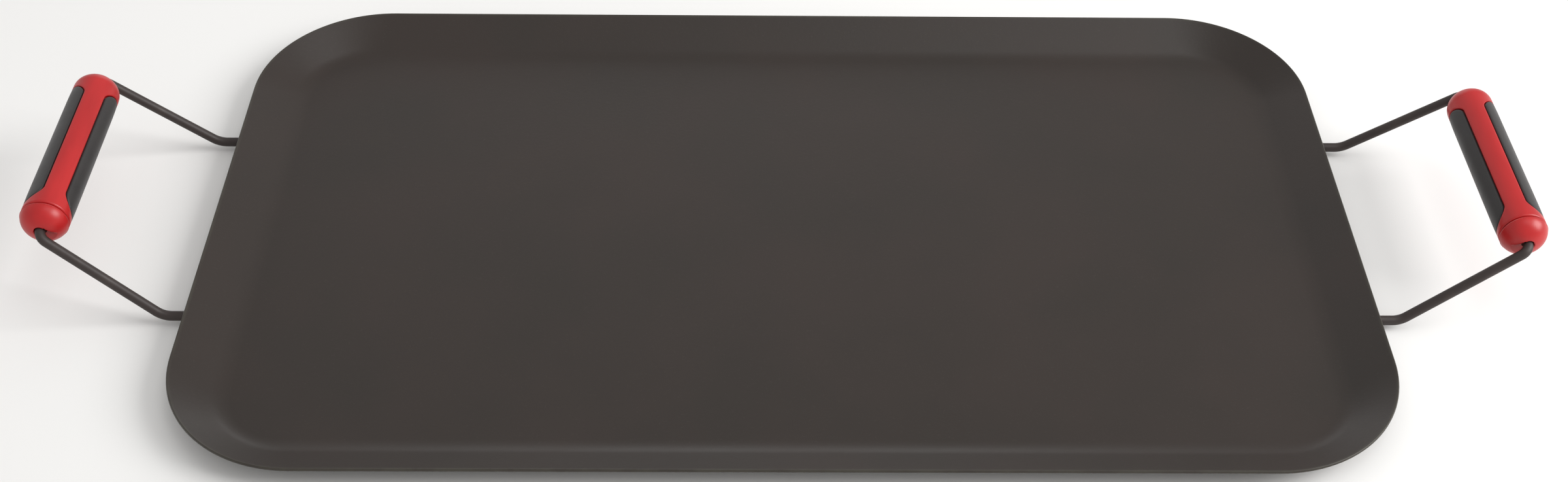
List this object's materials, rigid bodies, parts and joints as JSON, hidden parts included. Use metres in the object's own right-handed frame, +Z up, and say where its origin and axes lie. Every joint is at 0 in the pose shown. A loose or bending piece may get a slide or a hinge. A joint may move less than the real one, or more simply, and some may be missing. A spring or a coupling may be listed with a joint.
{
  "type": "stovetop griddle",
  "caption": "Shallow rectangular non-stick steel griddle with rounded corners, a flared rim and a bent-wire bail handle with a red and black grip at each end.",
  "frame": {"origin": "centre of the tray's flat underside, which rests on the burner grate", "axes": "+X along the tray from the left handle to the right handle, -Y towards the cook, +Z up"},
  "size_m": [0.6066, 0.28, 0.0527],
  "materials": {
    "coated_steel": "dark grey-brown non-stick coating on pressed steel, satin",
    "coated_wire": "the same dark coating on round steel wire, satin",
    "red_plastic": "moulded red nylon, semi-gloss",
    "black_soft_plastic": "black thermoplastic elastomer, matt"
  },
  "bodies": {
    "root": {"griddle_tray": "coated_steel", "left_wire_bail": "coated_wire", "left_weld_near": "coated_wire", "left_weld_far": "coated_wire", "left_grip_core": "red_plastic", "left_grip_cap": "red_plastic", "left_pad_inner": "black_soft_plastic", "left_pad_outer": "black_soft_plastic", "right_wire_bail": "coated_wire", "right_weld_near": "coated_wire", "right_weld_far": "coated_wire", "right_grip_core": "red_plastic", "right_grip_cap": "red_plastic", "right_pad_inner": "black_soft_plastic", "right_pad_outer": "black_soft_plastic"}
  },
  "joints": []
}
